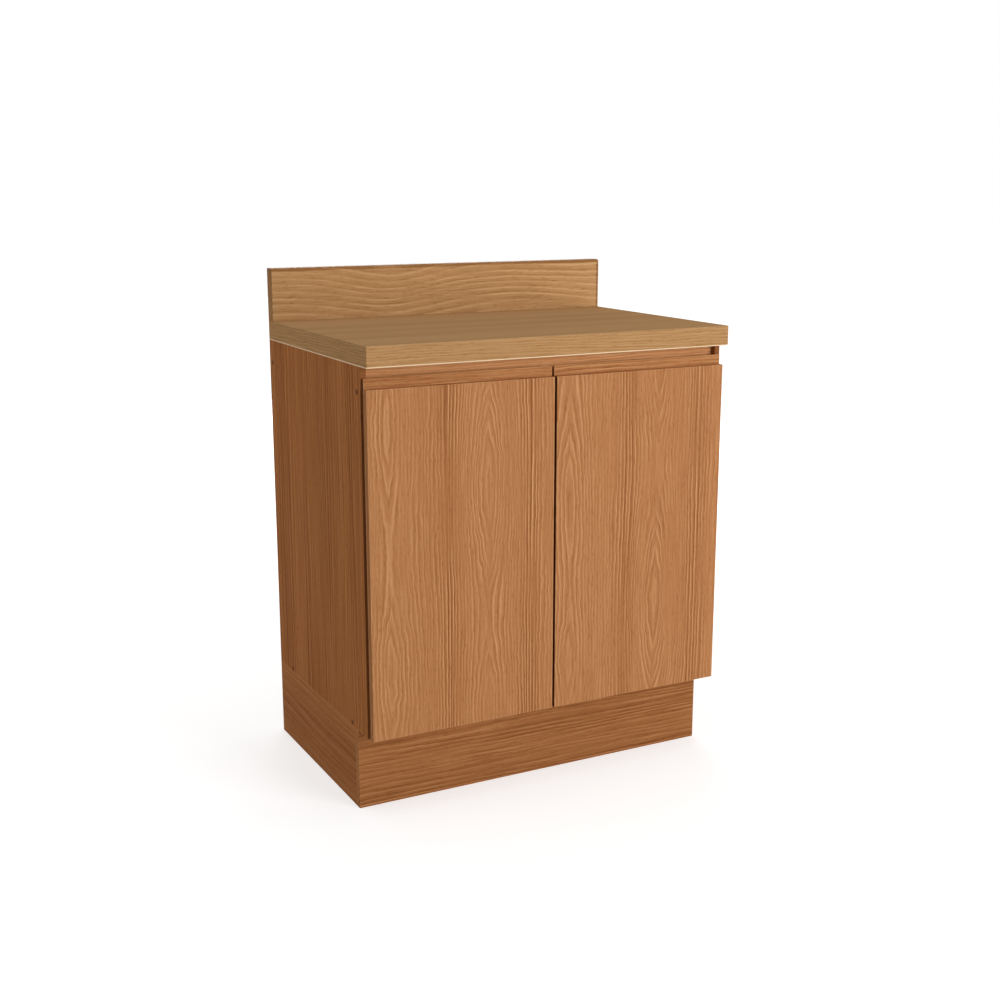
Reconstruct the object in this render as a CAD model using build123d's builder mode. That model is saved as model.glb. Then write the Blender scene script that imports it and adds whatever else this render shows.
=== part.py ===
"""Kitchen base cabinet with two doors, worktop and upstand, in millimetres.

The frame: X to the right, Y to the rear, Z up, with the origin on the floor
under the middle of the whole cabinet. The doors face -Y.
"""

import math
import os
from dataclasses import dataclass

from build123d import *

# Carcass
width = 800.0
carcass_depth = 510.0
carcass_height = 720.0
panel_thickness = 12.0
rail_height = 96.0
rail_setback = 10.0
board_arris = 0.8

# Back panel, held in grooves of the sides
back_thickness = 3.0
back_inset = 8.0
groove_depth = 5.0
groove_play = 0.2

# Shelf and its pins
shelf_thickness = 12.0
shelf_height = 365.0
shelf_setback = 60.0
shelf_play = 1.0
shelf_pin_radius = 2.5
shelf_pin_depth = 8.0
shelf_pin_inset = 50.0
shelf_ledge_reach = 9.0
shelf_ledge_width = 8.0
shelf_ledge_thickness = 2.0

# Plinth
plinth_height = 165.0
plinth_thickness = 15.0
toe_setback = 50.0
plinth_rear_inset = 30.0
dowel_radius = 4.0
dowel_long_end = 20.0
dowel_short_end = 10.0
dowel_edge = 40.0
plinth_screw_inset = 88.0
plinth_screw_count = 3

# Worktop and upstand
worktop_thickness = 40.0
worktop_overhang = 11.0
worktop_corner = 2.5
laminate_thickness = 1.2
laminate_arris = 0.7
backing_thickness = 1.8
edging_thickness = 1.0
upstand_height = 110.0
upstand_thickness = 28.0
upstand_round = 6.0
upstand_arris = 1.0
upstand_screw_inset = 120.0
upstand_screw_count = 3
bracket_leg = 22.0
bracket_width = 25.0
bracket_thickness = 2.0
bracket_inset = 150.0

# Doors and pull strips
door_thickness = 15.0
finger_gap = 21.0
door_drop = 1.0
door_gap = 4.0
door_reveal = 4.0
doors_apart = 5.0
door_arris = 1.0
strip_thickness = 2.5
strip_lap = 30.0
strip_rise = 20.0
strip_arris = 0.6
strip_screw_inset = 45.0
strip_screw_count = 4
bumper_radius = 4.0
bumper_play = 0.6
bumper_inner = 30.0
bumper_outer_inset = 58.0

# Hinges. "In" is measured from the side panel's inner face, "fore" from its front edge.
hinge_inset = 90.0
arm_pivot_in = 18.0
arm_pivot_fore = -6.0
elbow_in = 12.0
elbow_fore = 11.6
cup_pivot_in = 0.5
cup_pivot_depth = 6.5
arm_pin_radius = 1.25
cup_pin_radius = 1.0
pin_play = 0.05
cup_radius = 17.5
cup_depth = 11.5
cup_wall = 1.0
cup_edge = 3.0
flange_thickness = 1.0
flange_rim = 1.0
ear_width = 13.0
ear_height = 61.0
ear_corner = 6.0
ear_offset = 9.5
cup_screw_spacing = 48.0
link_thickness = 2.0
link_width = 8.0
arm_eye_radius = 2.4
cup_eye_radius = 1.9
arm_thickness = 1.2
arm_bore = 12.0
arm_length = 60.0
arm_end_radius = 3.2
arm_foot = 4.0
arm_web_front = 11.0
link_side_play = 0.5
plate_thickness = 2.0
plate_line = 37.0
plate_wing_depth = 18.0
plate_wing_height = 46.0
plate_corner = 4.0
plate_block_height = 11.0
plate_block_width = 11.2
plate_block_length = 38.0
plate_screw_spacing = 32.0
arm_screw_spacing = 20.0

# Screws and nails
bottom_screw_inset = 80.0
nail_inset = 68.0
nail_count = 5
head_sink = 0.3
slot_width = 0.8
slot_depth = 0.9
slot_share = 1.2
sunk_head_radius = 4.0
sunk_head_height = 2.6
carcass_shank_radius = 2.25
carcass_screw_length = 50.0
plinth_shank_radius = 2.0
plinth_screw_length = 45.0
upstand_shank_radius = 2.0
upstand_screw_length = 70.0
strip_head_radius = 2.8
strip_head_height = 1.6
strip_shank_radius = 1.25
strip_screw_length = 10.0
bracket_head_radius = 3.2
bracket_head_height = 1.6
bracket_shank_radius = 1.6
bracket_screw_length = 11.0
hinge_head_radius = 3.4
plate_head_height = 1.8
plate_shank_radius = 1.75
plate_screw_length = 11.0
cup_head_height = 1.6
cup_shank_radius = 1.6
cup_screw_length = 11.0
arm_head_radius = 3.0
arm_head_height = 1.6
arm_shank_radius = 1.8
arm_screw_length = 7.0
nail_head_radius = 2.0
nail_head_height = 0.6
nail_radius = 0.8
nail_length = 16.0


@dataclass(frozen=True)
class Screw:
    """A screw or nail: its head, its shank and its length below the seat of the head."""

    head_radius: float
    head_height: float
    shank_radius: float
    length: float
    sunk: bool
    slotted: bool = True


carcass_screw = Screw(sunk_head_radius, sunk_head_height, carcass_shank_radius, carcass_screw_length, True)
plinth_screw = Screw(sunk_head_radius, sunk_head_height, plinth_shank_radius, plinth_screw_length, True)
upstand_screw = Screw(sunk_head_radius, sunk_head_height, upstand_shank_radius, upstand_screw_length, True)
strip_screw = Screw(strip_head_radius, strip_head_height, strip_shank_radius, strip_screw_length, True)
bracket_screw = Screw(
    bracket_head_radius, bracket_head_height, bracket_shank_radius, bracket_screw_length, False
)
plate_screw = Screw(hinge_head_radius, plate_head_height, plate_shank_radius, plate_screw_length, False)
cup_screw = Screw(hinge_head_radius, cup_head_height, cup_shank_radius, cup_screw_length, False)
arm_screw = Screw(arm_head_radius, arm_head_height, arm_shank_radius, arm_screw_length, False)
back_nail = Screw(nail_head_radius, nail_head_height, nail_radius, nail_length, False, slotted=False)

# Derived places
half = width / 2
inner = half - panel_thickness
total_depth = carcass_depth + door_gap + door_thickness + worktop_overhang
rear = total_depth / 2
front = rear - carcass_depth
door_back = front - door_gap
door_front = door_back - door_thickness
worktop_front = door_front - worktop_overhang
bottom = plinth_height
bottom_top = bottom + panel_thickness
top = bottom + carcass_height
worktop_top = top + worktop_thickness
door_bottom = bottom - door_drop
strip_top = top - finger_gap
door_top = strip_top - strip_rise
strip_foot = door_top - strip_lap
door_outer = half - door_reveal
door_inner = doors_apart / 2
back_rear = rear - back_inset
back_front = back_rear - back_thickness
front_rail_front = front + rail_setback
front_rail_back = front_rail_front + panel_thickness
rear_rail_front = back_front - panel_thickness
rail_bottom = top - rail_height
rail_middle = top - rail_height / 2
shelf_bottom = bottom_top + shelf_height
plinth_front = front + toe_setback
plinth_front_back = plinth_front + plinth_thickness
plinth_rear_back = rear - plinth_rear_inset
plinth_rear_front = plinth_rear_back - plinth_thickness
hinge_heights = {"lower": door_bottom + hinge_inset, "upper": door_top - hinge_inset}
cup_in = cup_edge + cup_radius + door_reveal - panel_thickness

LEFT, RIGHT, FORE, AFT = (-1, 0, 0), (1, 0, 0), (0, -1, 0), (0, 1, 0)
UP, DOWN = (0, 0, 1), (0, 0, -1)
FROM_BASE = (Align.CENTER, Align.CENTER, Align.MIN)
FROM_TOP = (Align.CENTER, Align.CENTER, Align.MAX)


def block(x_span, y_span, z_span, mode=Mode.ADD):
    """Adds a block over a span of X, Y and Z, or cuts it away, in the part being built."""
    spans = (x_span, y_span, z_span)
    with Locations(tuple(sum(span) / 2 for span in spans)):
        Box(*(high - low for low, high in spans), mode=mode)


def drive(screw, places, mode=Mode.ADD):
    """Adds a screw at each (seat, direction) in the part being built, or cuts its hole."""
    cutting = mode == Mode.SUBTRACT
    slot_length = screw.head_radius * slot_share
    for seat, direction in places:
        with Locations(Plane(origin=seat, z_dir=direction)):
            Cylinder(screw.shank_radius, screw.length, align=FROM_BASE, mode=mode)
            if screw.sunk:
                Cone(screw.head_radius, screw.shank_radius, screw.head_height, align=FROM_BASE, mode=mode)
                head_face = 0.0
            else:
                Cylinder(screw.head_radius, screw.head_height, align=FROM_TOP, mode=mode)
                head_face = -screw.head_height
            if cutting and screw.sunk:
                Cylinder(screw.head_radius, head_sink, align=FROM_TOP, mode=mode)
            if screw.slotted and not cutting:
                with Locations((0, 0, head_face)):
                    Box(slot_length, slot_width, slot_depth, align=FROM_BASE, mode=Mode.SUBTRACT)
                    Box(slot_width, slot_length, slot_depth, align=FROM_BASE, mode=Mode.SUBTRACT)


def save(name, part):
    """Names a finished piece and writes it."""
    part.label = name
    export_step(part, f"parts/{name}.step")


def save_pair(left_name, right_name, part):
    """Writes a left-hand piece and its mirror image on the right."""
    save(left_name, part)
    with BuildPart() as other:
        mirror(part, about=Plane.YZ)
    save(right_name, other.part)


def both_sides(places):
    """Adds to left-hand screw places their mirror images on the right."""
    mirrored = [((-x, y, z), (-dx, dy, dz)) for (x, y, z), (dx, dy, dz) in places]
    return places + mirrored


def spread(reach, count):
    """Places along X, evenly spaced from one end of a reach about the middle to the other."""
    return [reach * (2 * number / (count - 1) - 1) for number in range(count)]


def at_hinge(inward, fore):
    """A left hinge's plan place, from the side panel's inner face and front edge."""
    return (inward - inner, front - fore)


def bar(start, end, bar_width):
    """Adds a round-ended bar between two plan places to the sketch being built."""
    run = Vector(*end) - Vector(*start)
    middle = ((start[0] + end[0]) / 2, (start[1] + end[1]) / 2)
    with Locations(middle):
        SlotCenterToCenter(run.length, bar_width, rotation=math.degrees(math.atan2(run.Y, run.X)))


os.makedirs("parts", exist_ok=True)

# Screw places, shared by the screws and by the boards that they go through
carcass_screw_places = both_sides(
    [
        ((-half + head_sink, front_rail_front + panel_thickness / 2, rail_middle), RIGHT),
        ((-half + head_sink, rear_rail_front + panel_thickness / 2, rail_middle), RIGHT),
        ((-half + head_sink, front + bottom_screw_inset, bottom + panel_thickness / 2), RIGHT),
        ((-half + head_sink, rear - bottom_screw_inset, bottom + panel_thickness / 2), RIGHT),
    ]
)
plinth_screw_places = [
    ((x, y, bottom_top - head_sink), DOWN)
    for y in (plinth_front + plinth_thickness / 2, plinth_rear_front + plinth_thickness / 2)
    for x in spread(inner - plinth_screw_inset, plinth_screw_count)
]
upstand_screw_places = [
    ((x, rear - upstand_thickness / 2, top + head_sink), UP)
    for x in spread(half - upstand_screw_inset, upstand_screw_count)
]
nail_places = [
    ((x, back_rear, z), FORE)
    for z in (bottom + panel_thickness / 2, rail_middle)
    for x in spread(inner - nail_inset, nail_count)
]
bracket_x = inner - bracket_inset
bracket_screw_places = []
for bracket_side in (-1, 1):
    leg_middle = bracket_thickness + (bracket_leg - bracket_thickness) / 2
    for face, inward, toward in ((front_rail_back, 1, FORE), (rear_rail_front, -1, AFT)):
        rail_seat = (bracket_side * bracket_x, face + inward * bracket_thickness, top - leg_middle)
        worktop_seat = (bracket_side * bracket_x, face + inward * leg_middle, top - bracket_thickness)
        bracket_screw_places += [(rail_seat, toward), (worktop_seat, UP)]
plate_screw_places = [
    ((*at_hinge(plate_thickness, -plate_line), height + step * plate_screw_spacing / 2), LEFT)
    for height in hinge_heights.values()
    for step in (-1, 1)
]
ear_place = at_hinge(cup_in + ear_offset, door_gap - flange_thickness)
cup_screw_places = [
    ((*ear_place, height + step * cup_screw_spacing / 2), FORE)
    for height in hinge_heights.values()
    for step in (-1, 1)
]
strip_screw_span = door_outer - door_inner - 2 * strip_screw_inset
strip_screw_places = [
    (
        (
            -door_outer + strip_screw_inset + strip_screw_span * number / (strip_screw_count - 1),
            door_back - head_sink,
            strip_foot + strip_lap / 2,
        ),
        FORE,
    )
    for number in range(strip_screw_count)
]

# Side panels: grooved for the back, drilled for hinges, shelf pins and screws
shelf_pin_places = [
    (-inner, y, shelf_bottom - shelf_ledge_thickness)
    for y in (front + shelf_setback + shelf_pin_inset, back_front - shelf_pin_inset)
]
with BuildPart() as side_panel:
    block((-half, -inner), (front, rear), (bottom, top))
    fillet(side_panel.edges().filter_by(Axis.Z).group_by(Axis.Y)[0], board_arris)
    block(
        (-inner - groove_depth, -inner),
        (back_front, back_rear + groove_play),
        (bottom, top),
        Mode.SUBTRACT,
    )
    drive(carcass_screw, carcass_screw_places, Mode.SUBTRACT)
    drive(plate_screw, plate_screw_places, Mode.SUBTRACT)
    for place in shelf_pin_places:
        with Locations(Plane(origin=place, z_dir=LEFT)):
            Cylinder(shelf_pin_radius, shelf_pin_depth, align=FROM_BASE, mode=Mode.SUBTRACT)
save_pair("left_side_panel", "right_side_panel", side_panel.part)

# Bottom panel, between the sides and in front of the back
with BuildPart() as bottom_panel:
    block((-inner, inner), (front, back_front), (bottom, bottom_top))
    fillet(bottom_panel.edges().filter_by(Axis.X).group_by(Axis.Y)[0], board_arris)
    drive(carcass_screw, carcass_screw_places, Mode.SUBTRACT)
    drive(plinth_screw, plinth_screw_places, Mode.SUBTRACT)
    drive(back_nail, nail_places, Mode.SUBTRACT)
save("bottom_panel", bottom_panel.part)

# Back panel, a thin sheet in the grooves
back_half = inner + groove_depth - groove_play
with BuildPart() as back_panel:
    block((-back_half, back_half), (back_front, back_rear), (bottom, top))
    drive(back_nail, nail_places, Mode.SUBTRACT)
save("back_panel", back_panel.part)

# Top rails, standing on edge between the sides
with BuildPart() as front_top_rail:
    block((-inner, inner), (front_rail_front, front_rail_back), (rail_bottom, top))
    drive(carcass_screw, carcass_screw_places, Mode.SUBTRACT)
    drive(bracket_screw, bracket_screw_places, Mode.SUBTRACT)
save("front_top_rail", front_top_rail.part)

with BuildPart() as rear_top_rail:
    block((-inner, inner), (rear_rail_front, back_front), (rail_bottom, top))
    drive(carcass_screw, carcass_screw_places, Mode.SUBTRACT)
    drive(bracket_screw, bracket_screw_places, Mode.SUBTRACT)
    drive(back_nail, nail_places, Mode.SUBTRACT)
save("rear_top_rail", rear_top_rail.part)

# Shelf on four pins with flat ledges
shelf_half = inner - shelf_play
with BuildPart() as shelf:
    block(
        (-shelf_half, shelf_half),
        (front + shelf_setback, back_front - shelf_play),
        (shelf_bottom, shelf_bottom + shelf_thickness),
    )
    fillet(shelf.edges().filter_by(Axis.X).group_by(Axis.Y)[0], board_arris)
save("shelf", shelf.part)

with BuildPart() as shelf_pins:
    for x, y, z in shelf_pin_places:
        with Locations(Plane(origin=(x, y, z), z_dir=LEFT)):
            Cylinder(shelf_pin_radius, shelf_pin_depth, align=FROM_BASE)
        with Locations(Plane(origin=(x, y, z), z_dir=RIGHT)):
            Cylinder(shelf_pin_radius, shelf_ledge_reach, align=FROM_BASE)
        ledge_y = (y - shelf_ledge_width / 2, y + shelf_ledge_width / 2)
        ledge_x = (x, x + shelf_ledge_reach)
        block(ledge_x, ledge_y, (z, shelf_bottom))
        block(ledge_x, ledge_y, (shelf_bottom, shelf_bottom + shelf_pin_radius), Mode.SUBTRACT)
    mirror(about=Plane.YZ)
save("shelf_pins", shelf_pins.part)

# Plinth: a frame of four boards, doweled at the corners
dowel_heights = (dowel_edge, plinth_height - dowel_edge)
dowel_x = half - plinth_thickness / 2
dowel_y = (plinth_rear_front + plinth_rear_back) / 2


def plinth_dowels(mode):
    """Adds the plinth's dowels to the part being built, or cuts their holes."""
    dowel_length = dowel_long_end + dowel_short_end
    for side in (-1, 1):
        for z in dowel_heights:
            front_end = (side * dowel_x, plinth_front_back - dowel_short_end, z)
            with Locations(Plane(origin=front_end, z_dir=AFT)):
                Cylinder(dowel_radius, dowel_length, align=FROM_BASE, mode=mode)
            rear_end = (side * (half - plinth_thickness + dowel_short_end), dowel_y, z)
            with Locations(Plane(origin=rear_end, z_dir=(-side, 0, 0))):
                Cylinder(dowel_radius, dowel_length, align=FROM_BASE, mode=mode)


with BuildPart() as plinth_front_board:
    block((-half, half), (plinth_front, plinth_front_back), (0, plinth_height))
    fillet(plinth_front_board.edges().filter_by(Axis.Z).group_by(Axis.Y)[0], board_arris)
    plinth_dowels(Mode.SUBTRACT)
    drive(plinth_screw, plinth_screw_places, Mode.SUBTRACT)
save("plinth_front", plinth_front_board.part)

with BuildPart() as plinth_rear_board:
    plinth_inner = half - plinth_thickness
    block((-plinth_inner, plinth_inner), (plinth_rear_front, plinth_rear_back), (0, plinth_height))
    plinth_dowels(Mode.SUBTRACT)
    drive(plinth_screw, plinth_screw_places, Mode.SUBTRACT)
save("plinth_rear", plinth_rear_board.part)

with BuildPart() as plinth_side_board:
    block((-half, plinth_thickness - half), (plinth_front_back, rear), (0, plinth_height))
    plinth_dowels(Mode.SUBTRACT)
save_pair("plinth_left", "plinth_right", plinth_side_board.part)

with BuildPart() as dowels:
    plinth_dowels(Mode.ADD)
save("plinth_dowels", dowels.part)


# Worktop: core, backing sheet below, edging round three sides and laminate on top
def worktop_plan(inset, height):
    """The worktop's outline at a height, drawn in from its ends and its front edge."""
    with BuildSketch(Plane.XY.offset(height)) as plan:
        with Locations((0, (worktop_front + inset + rear) / 2)):
            Rectangle(width - 2 * inset, rear - worktop_front - inset)
        fillet(plan.vertices().group_by(Axis.Y)[0], worktop_corner - inset)
    return plan.sketch


core_bottom = top + backing_thickness
core_height = worktop_thickness - backing_thickness - laminate_thickness
with BuildPart() as worktop_backing:
    extrude(worktop_plan(0, top), amount=backing_thickness)
    drive(upstand_screw, upstand_screw_places, Mode.SUBTRACT)
    drive(bracket_screw, bracket_screw_places, Mode.SUBTRACT)
save("worktop_backing", worktop_backing.part)

with BuildPart() as worktop_core:
    extrude(worktop_plan(edging_thickness, core_bottom), amount=core_height)
    drive(upstand_screw, upstand_screw_places, Mode.SUBTRACT)
    drive(bracket_screw, bracket_screw_places, Mode.SUBTRACT)
save("worktop_core", worktop_core.part)

with BuildPart() as worktop_edging:
    extrude(worktop_plan(0, core_bottom), amount=core_height)
    extrude(worktop_plan(edging_thickness, core_bottom), amount=core_height, mode=Mode.SUBTRACT)
save("worktop_edging", worktop_edging.part)

with BuildPart() as worktop_laminate:
    extrude(worktop_plan(0, worktop_top - laminate_thickness), amount=laminate_thickness)
    rim = worktop_laminate.faces().sort_by(Axis.Z)[-1].edges()
    fillet(rim.sort_by(Axis.Y)[:-1], laminate_arris)
    drive(upstand_screw, upstand_screw_places, Mode.SUBTRACT)
save("worktop_laminate", worktop_laminate.part)

with BuildPart() as upstand:
    block((-half, half), (rear - upstand_thickness, rear), (worktop_top, worktop_top + upstand_height))
    fillet(upstand.edges().filter_by(Axis.X).group_by(Axis.Z)[-1].sort_by(Axis.Y)[0], upstand_round)
    fillet(upstand.faces().sort_by(Axis.Z)[-1].edges().filter_by(Axis.Y), upstand_arris)
    drive(upstand_screw, upstand_screw_places, Mode.SUBTRACT)
save("upstand", upstand.part)

# Angle brackets from the rails to the worktop's underside
with BuildPart() as worktop_brackets:
    for bracket_side in (-1, 1):
        middle = bracket_side * bracket_x
        bracket_span = (middle - bracket_width / 2, middle + bracket_width / 2)
        for face, inward in ((front_rail_back, 1), (rear_rail_front, -1)):
            upright = sorted((face, face + inward * bracket_thickness))
            foot = sorted((face, face + inward * bracket_leg))
            block(bracket_span, upright, (top - bracket_leg, top))
            block(bracket_span, foot, (top - bracket_thickness, top))
    drive(bracket_screw, bracket_screw_places, Mode.SUBTRACT)
save("worktop_brackets", worktop_brackets.part)

# Doors, rebated behind for the pull strip and bored for the hinge cups
with BuildPart() as door:
    block((-door_outer, -door_inner), (door_front, door_back), (door_bottom, door_top))
    fillet(door.faces().sort_by(Axis.Y)[0].edges(), door_arris)
    block(
        (-door_outer, -door_inner),
        (door_back - strip_thickness, door_back),
        (strip_foot, door_top),
        Mode.SUBTRACT,
    )
    for height in hinge_heights.values():
        with Locations(Plane(origin=(cup_in - inner, door_back, height), z_dir=FORE)):
            Cylinder(cup_radius, cup_depth, align=FROM_BASE, mode=Mode.SUBTRACT)
    drive(cup_screw, cup_screw_places, Mode.SUBTRACT)
    drive(strip_screw, strip_screw_places, Mode.SUBTRACT)
save_pair("left_door", "right_door", door.part)

with BuildPart() as pull_strip:
    block((-door_outer, -door_inner), (door_back - strip_thickness, door_back), (strip_foot, strip_top))
    fillet(pull_strip.faces().sort_by(Axis.Z)[-1].edges().filter_by(Axis.X), strip_arris)
    drive(strip_screw, strip_screw_places, Mode.SUBTRACT)
save_pair("left_pull_strip", "right_pull_strip", pull_strip.part)

# Bumpers on the bottom panel's front edge
with BuildPart() as door_bumpers:
    bumper_outer = inner - bumper_outer_inset
    for x in (-bumper_outer, -bumper_inner, bumper_inner, bumper_outer):
        with Locations(Plane(origin=(x, front, bottom + panel_thickness / 2), z_dir=FORE)):
            Cylinder(bumper_radius, door_gap - bumper_play, align=FROM_BASE)
save("door_bumpers", door_bumpers.part)

# Concealed hinges, drawn on the left and mirrored to the right
arm_pivot = at_hinge(arm_pivot_in, arm_pivot_fore)
cup_pivot = at_hinge(cup_pivot_in, door_gap + cup_pivot_depth)
elbow = at_hinge(elbow_in, elbow_fore)
arm_half = arm_bore / 2 + arm_thickness
plate_block_front = plate_line - plate_block_length / 2
arm_screw_places = [
    ((*at_hinge(plate_block_height + arm_thickness, step * arm_screw_spacing / 2 - plate_line), height), LEFT)
    for height in hinge_heights.values()
    for step in (-1, 1)
]


def pivot_cylinder(place, height, radius, length, mode=Mode.ADD):
    """Adds an upright cylinder about a plan place to the part being built, or cuts it away."""
    with Locations((*place, height)):
        Cylinder(radius, length, mode=mode)


for level, height in hinge_heights.items():
    # Plate on the side panel: a winged base and a block that carries the arm
    with BuildPart() as hinge_plate:
        with BuildSketch(Plane(origin=(*at_hinge(0, -plate_line), height), x_dir=AFT, z_dir=RIGHT)):
            RectangleRounded(plate_wing_depth, plate_wing_height, plate_corner)
            Rectangle(plate_block_length, plate_block_width)
        extrude(amount=plate_thickness)
        with BuildSketch(Plane(origin=(*at_hinge(0, -plate_line), height), x_dir=AFT, z_dir=RIGHT)):
            Rectangle(plate_block_length, plate_block_width)
        extrude(amount=plate_block_height)
        drive(plate_screw, plate_screw_places, Mode.SUBTRACT)
        drive(arm_screw, arm_screw_places, Mode.SUBTRACT)
    save_pair(f"left_{level}_hinge_plate", f"right_{level}_hinge_plate", hinge_plate.part)

    # Arm: a channel over the block, with two cheeks that rise to the pin at its front end
    web_top = plate_block_height + arm_thickness
    with BuildPart() as hinge_arm:
        with BuildSketch(Plane.XY.offset(height - arm_half)):
            with BuildLine():
                Polyline(
                    at_hinge(arm_foot, -arm_length),
                    at_hinge(web_top, -arm_length),
                    at_hinge(web_top, -arm_web_front),
                    arm_pivot,
                    at_hinge(arm_foot, -arm_web_front),
                    close=True,
                )
            make_face()
            bar(at_hinge(web_top - arm_end_radius, -arm_web_front), arm_pivot, 2 * arm_end_radius)
        extrude(amount=2 * arm_half)
        open_half = (height - arm_bore / 2, height + arm_bore / 2)
        inside_x = (at_hinge(0, 0)[0], at_hinge(plate_block_height, 0)[0])
        ahead_x = (at_hinge(0, 0)[0], at_hinge(arm_pivot_in + 2 * arm_end_radius, 0)[0])
        web_front_y = at_hinge(0, -arm_web_front)[1]
        block(inside_x, (door_back, at_hinge(0, -arm_length)[1]), open_half, Mode.SUBTRACT)
        block(ahead_x, (door_back, web_front_y), open_half, Mode.SUBTRACT)
        pivot_cylinder(arm_pivot, height, arm_pin_radius, 2 * arm_half, Mode.SUBTRACT)
        drive(arm_screw, arm_screw_places, Mode.SUBTRACT)
    save_pair(f"left_{level}_hinge_arm", f"right_{level}_hinge_arm", hinge_arm.part)

    # Gooseneck link between the arm's pin and the cup's pin
    with BuildPart() as hinge_link:
        with BuildSketch(Plane.XY.offset(height - link_width / 2)):
            bar(arm_pivot, elbow, link_thickness)
            bar(elbow, cup_pivot, link_thickness)
        extrude(amount=link_width)
        arm_eye_length = arm_bore - 2 * link_side_play
        pivot_cylinder(arm_pivot, height, arm_eye_radius, arm_eye_length)
        pivot_cylinder(cup_pivot, height, cup_eye_radius, link_width)
        pivot_cylinder(arm_pivot, height, arm_pin_radius + pin_play, arm_eye_length, Mode.SUBTRACT)
        pivot_cylinder(cup_pivot, height, cup_pin_radius + pin_play, link_width, Mode.SUBTRACT)
    save_pair(f"left_{level}_hinge_link", f"right_{level}_hinge_link", hinge_link.part)

    # Cup let into the door, with a flange and two ears for its screws
    cup_plane = Plane(origin=(cup_in - inner, door_back, height), x_dir=RIGHT, z_dir=FORE)
    with BuildPart() as hinge_cup:
        with BuildSketch(cup_plane):
            Circle(cup_radius)
        extrude(amount=cup_depth)
        with BuildSketch(cup_plane.offset(-flange_thickness)):
            Circle(cup_radius + flange_rim)
            with Locations((ear_offset, 0)):
                RectangleRounded(ear_width, ear_height, ear_corner)
        extrude(amount=flange_thickness)
        with BuildSketch(cup_plane.offset(-flange_thickness)):
            Circle(cup_radius - cup_wall)
        extrude(amount=flange_thickness + cup_depth - cup_wall, mode=Mode.SUBTRACT)
        pivot_cylinder(cup_pivot, height, cup_pin_radius, 2 * cup_radius, Mode.SUBTRACT)
        drive(cup_screw, cup_screw_places, Mode.SUBTRACT)
    save_pair(f"left_{level}_hinge_cup", f"right_{level}_hinge_cup", hinge_cup.part)

# Hinge pins: the arm's ends flush with its cheeks, the cup's let into the cup's wall
with BuildPart() as arm_pins:
    for height in hinge_heights.values():
        pivot_cylinder(arm_pivot, height, arm_pin_radius, 2 * arm_half)
    mirror(about=Plane.YZ)
save("hinge_arm_pins", arm_pins.part)

cup_pin_reach = abs(cup_pivot_in - cup_in) + cup_pin_radius
cup_pin_half = math.sqrt(cup_radius**2 - cup_pin_reach**2)
with BuildPart() as cup_pins:
    for height in hinge_heights.values():
        pivot_cylinder(cup_pivot, height, cup_pin_radius, 2 * cup_pin_half)
save_pair("left_cup_pins", "right_cup_pins", cup_pins.part)

# Screws and nails, one node for each kind on each moving body
with BuildPart() as carcass_screws:
    drive(carcass_screw, carcass_screw_places)
save("carcass_screws", carcass_screws.part)

with BuildPart() as plinth_screws:
    drive(plinth_screw, plinth_screw_places)
save("plinth_screws", plinth_screws.part)

with BuildPart() as upstand_screws:
    drive(upstand_screw, upstand_screw_places)
save("upstand_screws", upstand_screws.part)

with BuildPart() as bracket_screws:
    drive(bracket_screw, bracket_screw_places)
save("bracket_screws", bracket_screws.part)

with BuildPart() as back_nails:
    drive(back_nail, nail_places)
save("back_nails", back_nails.part)

with BuildPart() as plate_screws:
    drive(plate_screw, both_sides(plate_screw_places))
save("hinge_plate_screws", plate_screws.part)

with BuildPart() as arm_screws:
    drive(arm_screw, both_sides(arm_screw_places))
save("hinge_arm_screws", arm_screws.part)

with BuildPart() as cup_screws:
    drive(cup_screw, cup_screw_places)
save_pair("left_cup_screws", "right_cup_screws", cup_screws.part)

with BuildPart() as strip_screws:
    drive(strip_screw, strip_screw_places)
save_pair("left_strip_screws", "right_strip_screws", strip_screws.part)
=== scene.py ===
"""Studio scene of a two-door kitchen base cabinet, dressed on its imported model."""

import logging
import math
from collections.abc import Callable
from dataclasses import dataclass, field
from enum import Enum
from typing import Any

import bmesh
import bpy
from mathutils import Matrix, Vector


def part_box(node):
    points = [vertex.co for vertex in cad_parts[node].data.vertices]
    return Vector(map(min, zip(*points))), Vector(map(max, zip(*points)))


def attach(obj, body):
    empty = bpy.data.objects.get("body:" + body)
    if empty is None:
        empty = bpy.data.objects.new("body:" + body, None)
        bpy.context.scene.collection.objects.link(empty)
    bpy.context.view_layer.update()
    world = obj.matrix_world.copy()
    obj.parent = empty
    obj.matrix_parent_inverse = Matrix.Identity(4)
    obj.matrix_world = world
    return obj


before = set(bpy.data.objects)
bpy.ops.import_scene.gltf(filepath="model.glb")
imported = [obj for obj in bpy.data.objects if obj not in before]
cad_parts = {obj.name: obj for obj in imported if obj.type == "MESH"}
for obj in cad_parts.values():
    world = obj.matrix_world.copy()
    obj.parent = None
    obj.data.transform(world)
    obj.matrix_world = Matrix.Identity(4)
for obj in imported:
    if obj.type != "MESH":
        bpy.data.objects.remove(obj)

log = logging.getLogger("cabinet")

MM = 0.001

Material = bpy.types.Material
Piece = bpy.types.Object
Colour = tuple[float, float, float]
Triple = tuple[float, float, float]
Pair = tuple[float, float]

# Outward directions of faces
BEHIND: Triple = (0.0, 1.0, 0.0)
BELOW: Triple = (0.0, 0.0, -1.0)

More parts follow.
